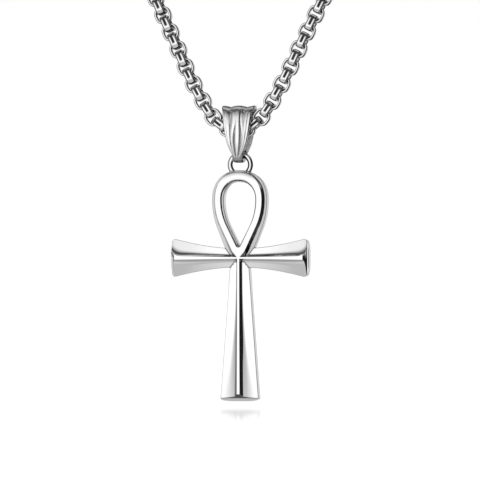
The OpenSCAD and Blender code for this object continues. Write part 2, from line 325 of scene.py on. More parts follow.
def shaded(obj, angle=35):
    """Smooth shading, with seams and edges sharper than the angle, in degrees, kept sharp."""
    mesh = obj.data
    mesh.shade_smooth()
    mesh.set_sharp_from_angle(angle=math.radians(angle))
    seams = mesh.get("seams")
    if seams is not None:
        sharp = np.empty(len(mesh.edges), bool)
        mesh.edges.foreach_get("use_edge_sharp", sharp)
        sharp[np.array(seams)] = True
        mesh.edges.foreach_set("use_edge_sharp", sharp)
        del mesh["seams"]


def eye(name, diameter, wire, centre, sides, section):
    """An upright ring: a circle of the wire's radius carried round a circle about the Y axis."""
    a, b = whole_turn(sides)[:, None], whole_turn(section)
    out = (diameter - wire) / 2 + wire / 2 * np.cos(b)
    points = stacked(out * np.cos(a), wire / 2 * np.sin(b), out * np.sin(a))
    return surface(name, centre + points, rows_closed=True)


# Ankh, in millimetres about its crossing

def depths():
    """Back and front of the flat body and the ridges' crest, behind the chain's plane."""
    sizes = bpy.context.scene.ankh_sizes
    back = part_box("ankh")[1][1] - ROUTE[0, 1]
    front = back - sizes.body_thickness
    return back / MM, front / MM, (front - sizes.ridge_rise) / MM


# Angles at which the round edges of the ankh's body and of the bars' crests are drawn.
QUARTER = np.radians(np.array([0, 22, 45, 68, 90]))
CREST_ANGLES = np.radians(np.array([15, 35, 55]))
# A bar's section: the most of its half width that the body's edge takes, the crest's edge as a share of that
# edge and at most of the ridge, its depth to its width, the crest's crown in mm and the flank's least width.
BODY_EDGE_LIMIT = 0.12
CREST_EDGE = 0.4
CREST_EDGE_LIMIT = 0.3
CREST_EDGE_DEPTH = 0.8
CREST_CROWN = 0.004
LEAST_FLANK = 0.01
# Shares of half the back at which it has points. Points over half the crest and over a flank, and the power
# that sets the latter closer by the ridge.
BACK_POINTS = np.array([0.66, 0.33])
CREST_POINTS = 5
FLANK_POINTS = 34
FLANK_SPACING = 1.6
# Along a bar: its stations and those in its finely drawn end, that end's length in mm, the last station's
# share of it, the power that sets stations closer by the end, and how far in mm the ledge lies behind the
# front.
STATIONS = 50
FINE_STATIONS = 64
FINE_END = 1.4
LAST_STATION = 0.012
STATION_SPACING = 2.2
LEDGE_STEP = 0.15
# The most of the bar's width that its ridge takes, and the length and power with which its far side widens.
RIDGE_LIMIT = 0.8
WIDENING = 2.2
WIDENING_POWER = 2.4


def bar_ring(half, ridge, shape, floor):
    """Rings of a ridged bar's section, as [station, point, (across, depth)].

    From the crest's middle over its round edge, down the ridge's side wall, the hollow cove and the straight
    facet to the body's round edge, down the wall and to the middle of the back; the other half mirrors it.
    On the flank, at distance d from the ridge, the rise is the facet's share times 1 - d over the flank's
    width, plus the wall's share times 1 - d over the wall's width, plus the rest times a power of 1 - d over
    the cove's width. The front stays behind the depth of the floor, which shapes the end.
    """
    sizes = bpy.context.scene.ankh_sizes
    back, front, top = depths()
    half, ridge, floor = [np.atleast_1d(v)[:, None] for v in (half, ridge, floor)]
    facet, wall, wall_width, cove_width, hollow = [np.atleast_1d(v)[:, None] for v in shape]
    edge = np.minimum(sizes.edge_round / MM, half * BODY_EDGE_LIMIT)
    soft = np.minimum(edge * CREST_EDGE, ridge * CREST_EDGE_LIMIT)
    u = np.linspace(0, 1, CREST_POINTS)
    width = np.maximum(half - edge - ridge, LEAST_FLANK)
    d = width * (np.linspace(0, 1, FLANK_POINTS + 2)[1:-1] ** FLANK_SPACING)
    near_wall = np.clip(1 - d / np.minimum(wall_width, width), 0, 1)
    near_cove = np.clip(1 - d / np.minimum(cove_width, width), 0, 1)
    share = facet * (1 - d / width) + wall * near_wall + (1 - facet - wall) * near_cove ** hollow
    rows = (
        ((ridge - soft) * u, top - CREST_CROWN * (1 - u ** 2)),
        (ridge - soft + soft * np.sin(CREST_ANGLES),
         top + soft * (1 - np.cos(CREST_ANGLES)) * CREST_EDGE_DEPTH),
        (half - edge - (width - d), front - (front - top) * share),
        (half - edge + edge * np.sin(QUARTER), front + edge * (1 - np.cos(QUARTER))),
        (half, mix(front + edge, back - edge, u[1:-1])),
        (half - edge + edge * np.cos(QUARTER), back - edge + edge * np.sin(QUARTER)),
        ((half - edge) * BACK_POINTS, back),
    )
    ring = np.concatenate([stacked(*row) for row in rows], axis=1)
    ring = np.concatenate([ring, ring[:, :0:-1] * np.array([-1, 1])], axis=1)
    ring[..., 1] = np.maximum(ring[..., 1], floor)
    return ring


def bar(reach, widths, ridges, flare, ridge_share, corner, squareness, at_crossing, at_end, turning, hollow,
        hip, ledge, slope, far_hip, far_ridge):
    """Rings of a bar and their distances from the crossing.

    Its width goes from the first to the last by a power, the flare, and the ridge's evenly. The end is a
    squared quarter round in the plan, as long as the corner. The flank's shape turns from that at the
    crossing into that at the end by a power of the distance. The ridge ends in a hip, a slope cut across the
    whole width, and a sloped ledge runs from there to the end's round edge. On the far side, which is up or
    right, the hip has its own length and the ridge widens by a power of the distance.
    """
    sizes = bpy.context.scene.ankh_sizes
    back, front, top = depths()
    reach, root = reach / MM, sizes.arm_root / MM / 2
    fine = reach - FINE_END * np.linspace(1, LAST_STATION, FINE_STATIONS) ** STATION_SPACING
    u = np.concatenate([np.linspace(0, reach - FINE_END, STATIONS, endpoint=False), fine])
    width = mix(*widths, (np.maximum(0, u - root) / (reach - root)) ** flare)
    q = np.clip((u - reach + corner) / corner, 0, 1)
    half = width / MM / 2 * (1 - q ** squareness) ** (1 / squareness)
    turned = (u / reach) ** turning
    shape = [mix(first, last, turned) for first, last in zip(at_crossing, at_end)] + [hollow]
    beyond = u - (reach - ledge)
    level = front + LEDGE_STEP + slope * np.clip(beyond, 0, None)
    fall = np.minimum(beyond, 0) * (front + LEDGE_STEP - top)
    edge = sizes.edge_round / MM
    near = np.clip((u - (reach - edge)) / edge, 0, 1)
    rounded = np.where(near > 0, level + edge * (1 - np.sqrt(1 - near ** 2)), -np.inf)
    ridge = np.minimum(ridge_share * mix(*ridges, u / reach) / MM / 2, half * RIDGE_LIMIT)
    widened = far_ridge * np.clip((u - reach + WIDENING) / WIDENING, 0, 1) ** WIDENING_POWER
    wider = np.minimum(ridge + widened, half * RIDGE_LIMIT)
    ring, far = [bar_ring(half, crest, shape, np.maximum(rounded, level + fall / run))
                 for crest, run in ((ridge, hip), (wider, far_hip))]
    point = np.arange(ring.shape[1])
    share = np.clip(point / (CREST_POINTS - 1), 0, 1) * (point <= ring.shape[1] // 2)
    ring = mix(ring, far, share[:, None])
    ring[..., 1] = np.minimum(ring[..., 1], back - edge * (1 - np.sqrt(1 - near[:, None] ** 2)))
    return u, ring


# How a bar is shaped, in mm or as shares. The ridge's share is what it keeps of its width in the sizes. The
# flank at the crossing and at the end: shares of the straight facet and of the side wall in the rise, and the
# widths of the wall and of the cove.
ARM = {
    "flare": 1.6, "ridge_share": 0.82,
    "corner": 1.2, "squareness": 3.2, "turning": 2.5, "hollow": 2.9,
    "at_crossing": (0.12, 0.38, 0.2, 0.6), "at_end": (0.5, 0.14, 0.09, 1.8),
    "hip": 0.6, "ledge": 0.25, "slope": 0.15, "far_hip": 0.1, "far_ridge": 0.95,
}
SHAFT = {
    "flare": 1, "ridge_share": 1,
    "corner": 0.7, "squareness": 4, "turning": 2.8, "hollow": 2.6,
    "at_crossing": (0.15, 0.45, 0.25, 0.38), "at_end": (0.33, 0.4, 0.5, 3.6),
    "hip": 0.75, "ledge": 0.45, "slope": 0.3, "far_hip": 0.75, "far_ridge": 0,
}


def arm_solid():
    """Both arms: sections carried along X."""
    sizes = bpy.context.scene.ankh_sizes
    widths, ridges = (sizes.arm_root, sizes.arm_flare), (sizes.ridge_width, sizes.ridge_arm_width)
    u, ring = bar(sizes.arm_span / 2, widths, ridges, **ARM)
    right = stacked(u[:, None], ring[..., 1], ring[..., 0])
    left = right[:0:-1] * np.array([-1, 1, 1])
    return surface("arms", np.concatenate([left, right]))


def shaft_solid():
    """The shaft: sections carried down Z."""
    sizes = bpy.context.scene.ankh_sizes
    widths, ridges = (sizes.shaft_root, sizes.shaft_foot), (sizes.ridge_width, sizes.ridge_foot_width)
    u, ring = bar(sizes.shaft_length, widths, ridges, **SHAFT)
    return surface("shaft", stacked(ring[..., 0], ring[..., 1], -u[:, None]))


# The loop's rails, from the outer wall over the ridge's two edges to the inner wall: lean of the leg in
# degrees, shares of the loop's height at which the leg's line would end and the tip is, and the tip's slope.
RAILS = (
    (21.8, -0.31, -0.06, 2),
    (25.2, -0.08, -0.012, 0.85),
    (26, 0.08, 0.116, 2),
    (26.5, 0.128, 0.15, 2),
)
LOOP_MIDDLE = 0.66
LOOP_SQUARENESS = 2.2
# Shares of the band outside and inside the ridge, and what the outer bevel keeps of its width at the top.
OUTER_BEVEL = 0.34
INNER_BEVEL = 0.18
TOP_BEVEL = 0.35


def rails():
    """Outer wall, outer and inner edge of the ridge, and inner wall: half width and top, then their row."""
    sizes = bpy.context.scene.ankh_sizes
    half, top, band = sizes.loop_width / MM / 2, sizes.loop_height / MM, sizes.band_width / MM
    outside, inside = band * OUTER_BEVEL, band * (1 - INNER_BEVEL)
    starts = (
        (half, top), (half - outside, top - outside * TOP_BEVEL), (half - inside, top - inside),
        (half - band, top - band),
    )
    return [(*start, *row) for start, row in zip(starts, RAILS)]


def rail_points(rail, t):
    """Points of a teardrop rail at t: 0 at its top, 1 at its widest place, 2 at its tip.

    Above the widest place a squared quarter ellipse; below it an arc that runs on into a leg at the rail's
    lean, and last a steeper line that closes the tip.
    """
    high = bpy.context.scene.ankh_sizes.loop_height / MM
    half, top, lean, apex, tip, close = rail
    apex, tip, lean = apex * high, tip * high, math.radians(lean)
    middle = LOOP_MIDDLE * high
    e = 2 / LOOP_SQUARENESS
    above = np.clip(t, 0, 1) * math.pi / 2
    z = np.where(t <= 1, mix(middle, top, power(np.cos(above), e)), mix(middle, tip, np.clip(t - 1, 0, 1)))
    reach = (middle - apex) * math.tan(lean) - half
    radius = reach * math.cos(lean) / (1 - math.cos(lean))
    fall = middle - z
    arc = half - radius + np.sqrt(np.maximum(0, radius ** 2 - fall ** 2))
    side = np.where(fall < radius * math.sin(lean), arc, (z - apex) * math.tan(lean))
    side = np.clip(np.minimum(side, (z - tip) * close), 0, None)
    return stacked(np.where(t <= 1, half * power(np.sin(above), e), side), z)


# The loop's flank outside the ridge, in mm and as shares: the side wall's width at the top, and what it gains
# down the side and down the leg; the sloped ledge's share of the rise, and its gain down the leg; how far the
# ridge lies back at the top, and the share of its width that does.
LOOP_WALL = (0.2, 0.13, 0.15)
LOOP_LEDGE = (0.14, 0.2)
LOOP_SHOULDER = (0.2, 0.65)
# The ridge's crown in mm, the power of its round edges, and the inner bevel's fall at a share of its width.
RIDGE_CROWN = 0.02
RIDGE_EDGE = 16
BEVEL_KNEE = (0.7, 0.24)
# Places round the loop between which the side wall widens, the ridge comes forward, the painted shade by the
# crossing begins and the left bevel's painted shade deepens.
WALL_WIDENS = (0.4, 0.9)
RIDGE_FORWARD = (0.7, 0.2)
CROSSING_SHADE_START = (1.5, 1.9)
LEFT_SHADE_DEEPENS = (0.2, 0.6)
# Painted shade on the side wall by the crossing and on the inner bevel, each on the right and on the left;
# how fast it deepens up the wall; the left bevel's share of it at the top; and the shares of the bevel's
# width between which it ends.
WALL_SHADE = (0.9, 0.3)
SHADE_RISE = 3
BEVEL_SHADE = (0.5, 1)
TOP_SHADE = 0.4
RIGHT_SHADE_END = (0.85, 0.75)
LEFT_SHADE_END = (0.6, 0.5)


def loop_solid():
    """The loop: rings across the band, carried round the teardrop; t is 0 at its top and 2 at its tip.

    A ring runs up the outer wall, over its round edge, up the sloped ledge and the ridge's side wall, over
    the domed ridge, down the inner bevel and wall and back along the rear. Shade is painted on the side wall
    by the crossing, darker on the right, and on the inner bevel, paler on the right and at the top.
    """
    sizes = bpy.context.scene.ankh_sizes
    back, front, top = depths()
    edge = sizes.edge_round / MM
    t = np.concatenate([np.linspace(0, 1, 80, endpoint=False), np.linspace(1, 2, 90)])
    outer, shoulder, inner, hole = [rail_points(rail, t)[:, None, :] for rail in rails()]
    outward = unit(outer - hole + np.array([1e-9, 0]))
    rim, hem = outer - outward * edge, hole + outward * edge
    rows = []

    def add(place, depth, right=0, left=0):
        """Adds points with their painted shade on the loop's right and left half."""
        rows.append(stacked(place[..., 0], depth, place[..., 1], right, left))

    def arc(start, turn):
        """Points from the start, moved outwards by the edge's radius times the turn."""
        return start + outward * (edge * turn)[None, :, None]

    sine, cosine = np.sin(QUARTER), np.cos(QUARTER)
    add(outer, mix(back - edge, front + edge, np.linspace(0, 1, 4)[:-1]))
    add(arc(outer, cosine - 1), front + edge * (1 - sine))
    v = np.linspace(0, 1, 26)[1:-1]
    low = np.clip(t - 1, 0, 1)[:, None] ** 2
    width = np.linalg.norm(outer - shoulder, axis=-1) - edge
    wall_width = LOOP_WALL[0] + LOOP_WALL[1] * rising(t, *WALL_WIDENS)[:, None] + LOOP_WALL[2] * low
    wall = np.clip(1 - width * (1 - v) / np.minimum(wall_width, width), 0, 1)
    ledge = LOOP_LEDGE[0] + LOOP_LEDGE[1] * low
    sunk = LOOP_SHOULDER[0] * rising(t, *RIDGE_FORWARD)[:, None]
    climb = front - top - sunk
    # Painted shade on the side wall by the crossing, darker on the right than on the left.
    near = rising(t, *CROSSING_SHADE_START)[:, None] * np.clip(SHADE_RISE * wall, 0, 1)
    rise = climb * (ledge * v + (1 - ledge) * wall)
    add(mix(rim, shoulder, v[None, :, None]), front - rise, WALL_SHADE[0] * near, WALL_SHADE[1] * near)
    w = np.linspace(0, 1, 25)
    side = np.abs(2 * w - 1)
    crown = RIDGE_CROWN * (side ** 2 + side ** RIDGE_EDGE)
    sloped = sunk * np.clip(1 - w / LOOP_SHOULDER[1], 0, 1) ** 2
    add(mix(shoulder, inner, w[None, :, None]), top + crown + sloped)
    v = v[::2]
    fall = np.interp(v, [0, BEVEL_KNEE[0], 1], [0, BEVEL_KNEE[1], 1])
    # Painted shade on the inner bevel, paler on the right, and on the left paler at the top.
    deeper = mix(TOP_SHADE, 1, rising(t, *LEFT_SHADE_DEEPENS))[:, None]
    add(mix(inner, hem, v[None, :, None]), mix(top, front, fall), BEVEL_SHADE[0] * rising(v, *RIGHT_SHADE_END),
        BEVEL_SHADE[1] * rising(v, *LEFT_SHADE_END) * deeper)
    add(arc(hole, 1 - sine), front + edge * (1 - cosine))
    add(hole, mix(front + edge, back - edge, np.linspace(0, 1, 4)[1:]))
    add(arc(hole, 1 - cosine), back - edge * (1 - sine))
    add(arc(outer, sine - 1), back - edge * (1 - cosine))
    right = np.concatenate(rows, axis=1)
    right[..., 0] = np.maximum(right[..., 0], 0)
    right[[0, -1], :, 0] = 0
    left = right[-2:0:-1] * np.array([-1, 1, 1, 1, 1])
    loop = surface("loop", np.concatenate([right, left])[..., :3], rows_closed=True)
    return with_painted_shade(loop, np.concatenate([right[..., 3], left[..., 4]]).ravel())


# Painted shade inside the eye ring's right side, the shares of the wire inwards between which it begins, and
# the distance in mm to the right over which it deepens.
RING_SHADE = 0.95
RING_SHADE_START = (0.15, 0.25)
RING_SHADE_REACH = 0.5


def ring_solid():
    """The eye ring, which is sunk into the loop's top a little.

    Inward is 0 along the middle of its wire and 1 at the hole. Its right side gets painted shade on the
    inward part.
    """
    sizes = bpy.context.scene.ankh_sizes
    centre = (sizes.loop_height - sizes.ring_sink + sizes.ring_diameter / 2) / MM
    ring = eye("ring", sizes.ring_diameter / MM, sizes.ring_wire / MM, np.array([0, 0, centre]), 120, 40)
    place = np.array([vertex.co for vertex in ring.data.vertices])
    middle = (sizes.ring_diameter - sizes.ring_wire) / MM / 2
    inward = (middle - np.hypot(place[:, 0], place[:, 2] - centre)) / (sizes.ring_wire / MM / 2)
    return with_painted_shade(ring, RING_SHADE * rising(inward, *RING_SHADE_START) * rising(place[:, 0], 0, RING_SHADE_REACH))


# Bail, in metres

LEAF_HEIGHTS = np.array([0.04, 0.045, 0.06, 0.1, 0.19, 0.32, 0.51, 0.71, 0.9, 0.96, 1])
LEAF_SHARES = np.array([0.02, 0.08, 0.15, 0.25, 0.41, 0.58, 0.72, 0.81, 0.88, 0.94, 1])
# Ribs of a leaf: place across at the top and at the foot, half width at both, and rise, as shares.
RIBS = np.array([
    [-0.9, -0.92, 0.16, 0.14, 0.85],
    [-0.64, -0.72, 0.24, 0.2, 1.0],
    [-0.2, -0.42, 0.24, 0.14, 1.0],
    [0.08, 0.06, 0.17, 0.27, 0.9],
    [0.36, 0.56, 0.14, 0.11, 0.7],
    [0.6, 0.66, 0.17, 0.12, 0.9],
    [0.88, 0.9, 0.2, 0.2, 1.0],
])
BAIL_SQUARENESS = 2.9
FINE_STEPS = 6000
RIB_POWER = 2.6
# Shares of the leaf's height between which the ribs drift and rise from the foot, the scallops begin, and the
# foot turns upright.
DRIFT = (0.82, 0.32)
RIB_START = (0.03, 0.13)
SCALLOPS = (0.5, 0.9)
FOOT = (0.35, 0.05)
# The top band: height of its lower edge, how far that bends down over the lobes, the heights over which the
# ribs end and the band begins, and the share of the ribs that ends.
BROW = 0.925
BROW_BEND = 0.05
BROW_FADE = 0.05
BAND_START = 0.04
RIB_END = 0.85
# How dark the painted shade is in the grooves, on the top band and on the strap, how matt band and inside
# are, and the depths of a groove, as shares of the ribs' rise, between which its painted shade begins.
GROOVE_SHADE = 0.65
GROOVE_SHADE_START = (0.3, 0.8)
BAND_SHADE = 0.3
STRAP_SHADE = 0.5
BAND_MATT = 0.5
INSIDE_MATT = 0.8


def bail_path(first, last, count):
    """Evenly spaced points of the bail's side view between two angles, with outward normals.

    The side view is a squared ellipse of exponent 2.9: y and z are the half depth and half height times the
    cosine and sine, each to the power 2 / 2.9. Angle 0 is the front, 90 the top.
    """
    sizes = bpy.context.scene.bail_sizes
    depth, rise = (sizes.depth - sizes.wall) / 2, (sizes.height - sizes.wall) / 2
    e = 2 / BAIL_SQUARENESS
    a = np.radians(np.linspace(first, last, FINE_STEPS))
    y, z = -depth * power(np.cos(a), e), rise * power(np.sin(a), e)
    run = np.concatenate([[0], np.cumsum(np.hypot(np.diff(y), np.diff(z)))])
    even = np.interp(np.linspace(0, run[-1], count), run, a)
    y, z = -depth * power(np.cos(even), e), rise * power(np.sin(even), e)
    normal = unit(stacked(-power(np.cos(even), 2 - e) / depth, power(np.sin(even), 2 - e) / rise))
    return y, z, normal, (z / rise + 1) / 2


def rib_profile(w, h):
    """Outward offset, painted shade and top band of the leaf's face, at w across from -1 to 1 and height
    share h.

    Round ribs that meet in sharp grooves: the highest of the squared arcs over w. They drift and narrow
    towards the foot and fade at the top, where three broad lobes are left between two scallops.
    """
    sizes = bpy.context.scene.bail_sizes
    down = rising(h, *DRIFT)
    arcs = []
    for top_place, foot_place, top_reach, foot_reach, rise in RIBS:
        place, reach = mix(top_place, foot_place, down), mix(top_reach, foot_reach, down)
        arc = np.clip(1 - np.abs((w - place) / reach) ** RIB_POWER, 0, 1)
        arcs.append(rise * arc ** (1 / RIB_POWER))
    relief = np.max(arcs, axis=0) - 1
    brow = BROW - BROW_BEND * np.abs(np.cos(1.5 * math.pi * w))
    band = rising(h, brow, brow + BAND_START)
    fade = rising(h, *RIB_START) * (1 - RIB_END * rising(h, brow, brow + BROW_FADE))
    scallop = -(1 - np.abs(np.cos(math.pi * w))) * rising(h, *SCALLOPS)
    # Painted shade in the grooves, and a lighter painted shade on the top band.
    painted_shade_mask = GROOVE_SHADE * rising(-relief, *GROOVE_SHADE_START) * fade + BAND_SHADE * band
    return scallop * sizes.scallop + relief * fade * sizes.rib, np.clip(painted_shade_mask, 0, 1), band


def beside(x, y, z, normal, out):
    """Points of a band: x across, and so far out from the side view's points."""
    return stacked(x, y[:, None] + out * normal[:, :1], z[:, None] + out * normal[:, 1:])


# Angle in the side view at which a leaf starts, and how much the power of its depth falls towards its foot.
LEAF_START = -62
FOOT_LIFT = 0.55
# Points across the face, every how many of them the inside has one, and how evenly they lie.
LEAF_POINTS = 121
INNER_STEP = 6
EVENNESS = 0.65
# Powers of the leaf's round edge, the share of the width under which it thins, and the least that is left.
LEAF_EDGE = (24, 0.4)
THIN_WIDTH = 0.1
THINNEST = 0.25


def leaf_solid():
    """Both leaves and the top between them: a ribbed band whose outline comes to a blunt point at each end.

    The depth is raised to a power under 1 towards the foot, which keeps the tips upright.
    """
    sizes = bpy.context.scene.bail_sizes
    y, z, _, h = bail_path(LEAF_START, 180 - LEAF_START, 260)
    depth = (sizes.depth - sizes.wall) / 2
    y = depth * power(y / depth, 1 - FOOT_LIFT * rising(h, *FOOT))
    normal = unit(stacked(-np.gradient(z), np.gradient(y)))
    half = np.interp(h, LEAF_HEIGHTS, LEAF_SHARES) * sizes.width / 2
    even = np.linspace(-1, 1, LEAF_POINTS)
    w = mix(np.sin(even * math.pi / 2), even, EVENNESS)
    rear = slice(-1 - INNER_STEP, 0, -INNER_STEP)
    thin = np.clip(1 - np.abs(w) ** LEAF_EDGE[0], 0, 1) ** LEAF_EDGE[1]
    ends = np.clip(half / (sizes.width * THIN_WIDTH), THINNEST, 1)[:, None]
    relief, painted_shade_mask, band = rib_profile(w, h[:, None])
    inner = -sizes.wall / 2 * ends * thin[rear]
    out = np.concatenate([(sizes.wall / 2 * ends + relief) * thin, inner], axis=1)
    # Painted shade on the outer face only, none on the inside.
    shade_paint = np.concatenate([painted_shade_mask, 0 * inner], axis=1)
    matt = np.concatenate([BAND_MATT * band, INSIDE_MATT + 0 * inner], axis=1)
    leaf = surface("leaf", beside(half[:, None] * np.concatenate([w, w[rear]]), y, z, normal, out))
    return marked(with_painted_shade(leaf, shade_paint.ravel()), "matt", matt.ravel())


# How far the strap's outside lies under the leaf's, in metres, and the height share under which it comes out.
STRAP_SUNK = 0.00022
STRAP_OUT = 0.06


def strap_solid():
    """The strap that joins the leaves under the eye ring: a rounded band through the side view's bottom."""
    sizes = bpy.context.scene.bail_sizes
    y, z, normal, h = bail_path(-150, -30, 90)
    b = whole_turn(48)
    across = power(np.cos(b), 2 / 3) * sizes.strap_width / 2
    through = power(np.sin(b), 2 / 3)
    outer = sizes.wall / 2 - STRAP_SUNK * (1 - rising(h, STRAP_OUT, 0))
    inner = sizes.wall / 2 + (sizes.seat - sizes.wall) * rising(h, *FOOT)
    out = through * np.where(through > 0, outer[:, None], inner[:, None])
    strap = surface("strap", beside(across, y, z, normal, out))
    # Painted shade, even over the whole strap.
    return with_painted_shade(strap, np.full(out.size, STRAP_SHADE))


# Chain, in metres

class Route:
    """A smooth curve through the route's points by its length; the left half mirrors the right.

    Between two points it is a cubic whose tangents are the mean of the chords on both sides, each weighted by
    the other's length.
    """

    def __init__(self, steps=32):
        mirror = np.array([-1, 1, 1])
        p = np.concatenate([ROUTE[1:2] * mirror, ROUTE, ROUTE[-2:-1] * mirror])
        chord = np.diff(p, axis=0)
        size = np.linalg.norm(chord, axis=1)[:, None]
        before, after = chord[:-1] / size[:-1], chord[1:] / size[1:]
        slope = (after * size[:-1] + before * size[1:]) / (size[1:] + size[:-1])
        t = (np.arange(steps) / steps)[None, :, None]
        a, b = p[1:-2, None], p[2:-1, None]
        start, end = slope[:-1, None] * size[1:-1, None], slope[1:, None] * size[1:-1, None]
        curve = (a * (2 * t ** 3 - 3 * t ** 2 + 1) + start * (t ** 3 - 2 * t ** 2 + t)
                 + b * (3 * t ** 2 - 2 * t ** 3) + end * (t ** 3 - t ** 2))
        self.points = np.concatenate([curve.reshape(-1, 3), ROUTE[-1:]])
        self.run = np.concatenate([[0], np.cumsum(np.linalg.norm(np.diff(self.points, axis=0), axis=1))])
        self.half = self.run[-1]

    def place(self, s):
        """The point at a length from the bail, which is negative on the left half."""
        x, y, z = [np.interp(np.abs(s), self.run, self.points[:, k]) for k in range(3)]
        return stacked(np.sign(s) * x, y, z)

    def axes(self, s, step=0.0004):
        """Along the route, towards its back, and across both."""
        along = unit(self.place(s + step) - self.place(s - step))
        depth = unit(np.array([0, 1, 0]) - along[..., 1:2] * along)
        return along, depth, np.cross(along, depth)


# Angles round half of a link's section, and where each lies in a recess that gets painted shade: the corners,
# and on turned links the channel down the middle of the outer face and the collar across it.
SECTION = np.array([0, 8, 12, 20, 33, 38, 45, 52, 57, 75, 90, 105, 123, 128, 135, 142, 147, 165, 180])
CORNER = np.array([0, 0, 0, 0, 0, 1, 1, 1, 0, 0, 0, 0, 0, 1, 1, 1, 0, 0, 0])
CHANNEL = np.array([1, 1, 0, 0, 0, 0, 0, 0, 0, 0, 0, 0, 0, 0, 0, 0, 0, 0, 0])
COLLAR = np.array([1, 1, 1, 1, 1, 1, 1, 1, 0, 0, 0, 0, 0, 0, 0, 0, 0, 0, 0])


# Exponents of the squared circles of turned links and of the others, and powers of the band's width and
# thickness round the section.
TURNED_SQUARENESS = 4.6
LEVEL_SQUARENESS = 2.8
BAND_POWERS = (0.62, 0.5)
# What the band's crown and the grooves take of its thickness. Places up the link, from -1 to 1, between which
# the channel begins and ends, and the collar's middle, half width and soft edge.
CROWN = 0.12
GROOVE = 0.12
CHANNEL_START = (-0.5, -0.35)
CHANNEL_END = (0.62, 0.52)
COLLAR_PLACE = (0.66, 0.13, 0.05)
# Painted shade and dark reflection on the corners and ends, and how far an outline's normal leans along the
# chain where the ends begin.
CORNER_SHADE = 0.85
LINK_END = (0.93, 0.99)


def link_points(s, turned, sides, section):
    """Points of links as [link, side, section point, xyz], and how much painted shade each gets.

    A link is a squared circle, as wide as the chain, in the plane of along and depth where it is turned and
    of along and across where it isn't. Its section is a band with a crowned face. Shade and dark reflection
    are painted on the section's corners, the ends where links touch, and the grooves of turned links.
    """
    sizes = bpy.context.scene.chain_sizes
    route = Route()
    place = route.place(s)[:, None, None, :]
    along, depth, flat = [v[:, None, None, :] for v in route.axes(s)]
    across, axis = (depth, -flat) if turned else (flat, depth)
    e = 2 / (TURNED_SQUARENESS if turned else LEVEL_SQUARENESS)
    a = (np.arange(sides) + 0.5) / sides * 2 * math.pi
    radius = (sizes.width - sizes.wire) / 2
    middle = radius * stacked(power(np.cos(a), e), power(np.sin(a), e))
    out = unit(stacked(power(np.cos(a), 2 - e), power(np.sin(a), 2 - e)))
    half = np.interp(np.linspace(0, 1, section // 2 + 1), np.linspace(0, 1, len(SECTION)), SECTION)
    b = np.radians(np.concatenate([half, -half[-2:0:-1]]))
    off = np.abs(np.degrees(b))
    wide = power(np.sin(b), BAND_POWERS[0])
    rise = (power(np.cos(a), e)[None, :] * np.where(s < 0, -1, 1)[:, None])[..., None]
    channel = np.interp(off, SECTION, CHANNEL) * rising(rise, *CHANNEL_START) * rising(rise, *CHANNEL_END)
    collar_middle, collar_half, collar_edge = COLLAR_PLACE
    collar = np.clip((collar_half - np.abs(rise - collar_middle)) / collar_edge, 0, 1)
    groove = np.maximum(channel, np.interp(off, SECTION, COLLAR) * collar) * turned
    thick = power(np.cos(b), BAND_POWERS[1]) * (1 - CROWN * wide ** 2) - GROOVE * groove
    ring = middle[:, None, :] + out[:, None, :] * thick[..., None] * sizes.wire / 2
    side = (wide * sizes.band / 2)[:, None]
    end = rising(np.abs(out[:, :1]), *LINK_END)
    # Painted shade and dark reflection on the corners, at the ends where links touch, and in the grooves.
    painted_shade_mask = np.maximum(CORNER_SHADE * np.maximum(np.interp(off, SECTION, CORNER), end), groove)
    return place + ring[..., :1] * along + ring[..., 1:] * across + side * axis, painted_shade_mask


def links(name, numbers, places, sides, section, shade_paint):
    """Links by their number from the bail and their place along the route; every second one is turned."""
    parts, masks, faces = [], [], []
    start = 0
    quads = grid_quads(sides, section, True)
    for turned in (True, False):
        chosen = places[(numbers % 2 == 0) == turned]
        points, painted_shade_mask = link_points(chosen, turned, sides, section)
        first = start + np.arange(len(chosen))[:, None, None] * sides * section
        faces.append((quads[None] + first).reshape(-1, 4))
        parts.append(points.reshape(-1, 3))
        # Painted shade, scaled by how dark it is meant to be in these links.
        masks.append(shade_paint * painted_shade_mask.ravel())
        start += len(parts[-1])
    obj = new_object(name, np.concatenate(parts), np.concatenate(faces).tolist())
    return with_painted_shade(obj, np.concatenate(masks))


# Clasp, in metres

# Power of the clasp's rounded section, and the opening's radius at its narrow end, as a share of its width.
CLASP_POWER = 0.6
CLASP_TAPER = 0.35


def clasp_solid():
    """A hook body: rounded sections between an outer and an inner outline, each a tapered slot."""
    sizes = bpy.context.scene.clasp_sizes
    big, small = sizes.width / 2, bpy.context.scene.chain_sizes.width / 2
    a, b = whole_turn(96), whole_turn(32)
    left, right = -(sizes.length / 2 - big), sizes.length / 2 - small

    def slot(x_left, r_left, x_right, r_right):
        """Outline of two circles and the lines between them, by angle."""
        near = np.cos(a) < 0
        r = np.where(near, r_left, r_right)
        return stacked(np.where(near, x_left, x_right) + r * np.cos(a), r * np.sin(a))

    outer = slot(left, big, right, small)
    inner = slot(left, sizes.opening / 2, sizes.length / 2 - sizes.width, sizes.opening * CLASP_TAPER)
    side = (1 + power(np.cos(b), CLASP_POWER)) / 2
    high = power(np.sin(b), CLASP_POWER) * sizes.thickness / 2
    ring = mix(inner[:, None, :], outer[:, None, :], side[None, :, None])
    return surface("clasp_body", stacked(ring[..., 0], high, ring[..., 1]) + ROUTE[-1], rows_closed=True)


# Finishes

NUMBER = "NodeSocketFloat"
COLOUR = "NodeSocketColor"


def node(tree, kind, inputs=None, **settings):
    """A new node with its settings. Each input gets a value, or a wire from another node's socket."""
    made = tree.nodes.new(kind)
    for key, value in settings.items():
        setattr(made, key, value)
    for key, value in (inputs or {}).items():
        if isinstance(value, bpy.types.NodeSocket):
            tree.links.new(value, made.inputs[key])
        else:
            made.inputs[key].default_value = value
    return made


